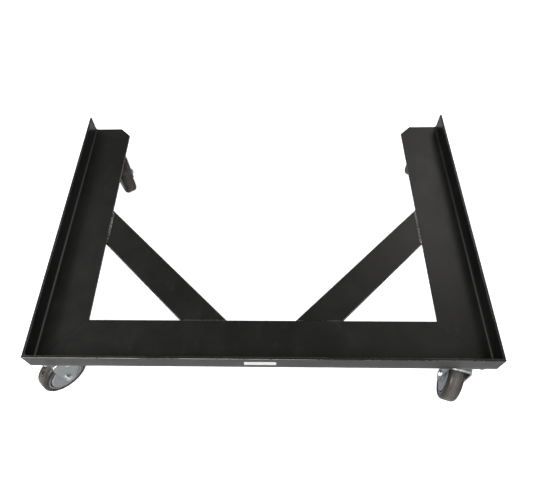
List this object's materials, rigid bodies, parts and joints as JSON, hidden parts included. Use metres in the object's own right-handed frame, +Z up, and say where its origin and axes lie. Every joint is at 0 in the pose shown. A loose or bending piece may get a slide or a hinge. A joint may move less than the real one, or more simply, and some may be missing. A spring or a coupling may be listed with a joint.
{
  "type": "u-frame dolly",
  "caption": "Open-ended U-shaped steel dolly with raised lips, corner braces and swivel casters, for rolling a load with an open centre.",
  "frame": {"origin": "on the floor, under the centre of the frame", "axes": "+X towards the right rail, +Y towards the open end, +Z up"},
  "size_m": [0.9458, 0.7258, 0.1875],
  "materials": {
    "black_paint": "satin black paint",
    "zinc_plate": "zinc plated",
    "bright_steel": "bright zinc plated",
    "ball_steel": "polished",
    "tread_rubber": "matt",
    "core_plastic": "matt",
    "guard_plastic": "semi-gloss",
    "label": "smooth"
  },
  "bodies": {
    "frame": {"front_rail": "black_paint", "left_rail": "black_paint", "right_rail": "black_paint", "left_brace": "black_paint", "right_brace": "black_paint", "mitre_welds": "black_paint", "brace_welds": "black_paint", "front_label": "label", "caster_studs": "bright_steel", "lock_washers": "zinc_plate", "caster_nuts": "bright_steel", "front_left_caster_plate": "zinc_plate", "front_left_kingpin": "bright_steel", "front_left_upper_balls": "ball_steel", "front_left_lower_balls": "ball_steel", "front_left_race_ring": "zinc_plate", "front_right_caster_plate": "zinc_plate", "front_right_kingpin": "bright_steel", "front_right_upper_balls": "ball_steel", "front_right_lower_balls": "ball_steel", "front_right_race_ring": "zinc_plate", "rear_left_caster_plate": "zinc_plate", "rear_left_kingpin": "bright_steel", "rear_left_upper_balls": "ball_steel", "rear_left_lower_balls": "ball_steel", "rear_left_race_ring": "zinc_plate", "rear_right_caster_plate": "zinc_plate", "rear_right_kingpin": "bright_steel", "rear_right_upper_balls": "ball_steel", "rear_right_lower_balls": "ball_steel", "rear_right_race_ring": "zinc_plate"},
    "front_left_swivel": {"front_left_fork": "zinc_plate", "front_left_axle_bolt": "bright_steel", "front_left_axle_nut": "bright_steel", "front_left_axle_sleeve": "zinc_plate", "front_left_thread_guards": "guard_plastic"},
    "front_left_wheel": {"front_left_wheel_core": "core_plastic", "front_left_tread": "tread_rubber"},
    "front_right_swivel": {"front_right_fork": "zinc_plate", "front_right_axle_bolt": "bright_steel", "front_right_axle_nut": "bright_steel", "front_right_axle_sleeve": "zinc_plate", "front_right_thread_guards": "guard_plastic"},
    "front_right_wheel": {"front_right_wheel_core": "core_plastic", "front_right_tread": "tread_rubber"},
    "rear_left_swivel": {"rear_left_fork": "zinc_plate", "rear_left_axle_bolt": "bright_steel", "rear_left_axle_nut": "bright_steel", "rear_left_axle_sleeve": "zinc_plate", "rear_left_thread_guards": "guard_plastic"},
    "rear_left_wheel": {"rear_left_wheel_core": "core_plastic", "rear_left_tread": "tread_rubber"},
    "rear_right_swivel": {"rear_right_fork": "zinc_plate", "rear_right_axle_bolt": "bright_steel", "rear_right_axle_nut": "bright_steel", "rear_right_axle_sleeve": "zinc_plate", "rear_right_thread_guards": "guard_plastic"},
    "rear_right_wheel": {"rear_right_wheel_core": "core_plastic", "rear_right_tread": "tread_rubber"}
  },
  "joints": [
    {"name": "front_left_swivel_turn", "type": "hinge", "parent": "frame", "child": "front_left_swivel", "pos_m": [-0.4107, -0.2845, 0.143], "axis": [0, 0, 1], "continuous": true},
    {"name": "front_left_wheel_spin", "type": "hinge", "parent": "front_left_swivel", "child": "front_left_wheel", "pos_m": [-0.43321, -0.30863, 0.0508], "axis": [0.7314, -0.682, 0], "continuous": true},
    {"name": "front_right_swivel_turn", "type": "hinge", "parent": "frame", "child": "front_right_swivel", "pos_m": [0.4107, -0.2845, 0.143], "axis": [0, 0, 1], "continuous": true},
    {"name": "front_right_wheel_spin", "type": "hinge", "parent": "front_right_swivel", "child": "front_right_wheel", "pos_m": [0.40105, -0.31606, 0.0508], "axis": [0.9563, -0.2924, 0], "continuous": true},
    {"name": "rear_left_swivel_turn", "type": "hinge", "parent": "frame", "child": "rear_left_swivel", "pos_m": [-0.4107, 0.2845, 0.143], "axis": [0, 0, 1], "continuous": true},
    {"name": "rear_left_wheel_spin", "type": "hinge", "parent": "rear_left_swivel", "child": "rear_left_wheel", "pos_m": [-0.39321, 0.25651, 0.0508], "axis": [0.848, 0.5299, 0], "continuous": true},
    {"name": "rear_right_swivel_turn", "type": "hinge", "parent": "frame", "child": "rear_right_swivel", "pos_m": [0.4107, 0.2845, 0.143], "axis": [0, 0, 1], "continuous": true},
    {"name": "rear_right_wheel_spin", "type": "hinge", "parent": "rear_right_swivel", "child": "rear_right_wheel", "pos_m": [0.4301, 0.3112, 0.0508], "axis": [-0.809, 0.5878, 0], "continuous": true}
  ]
}
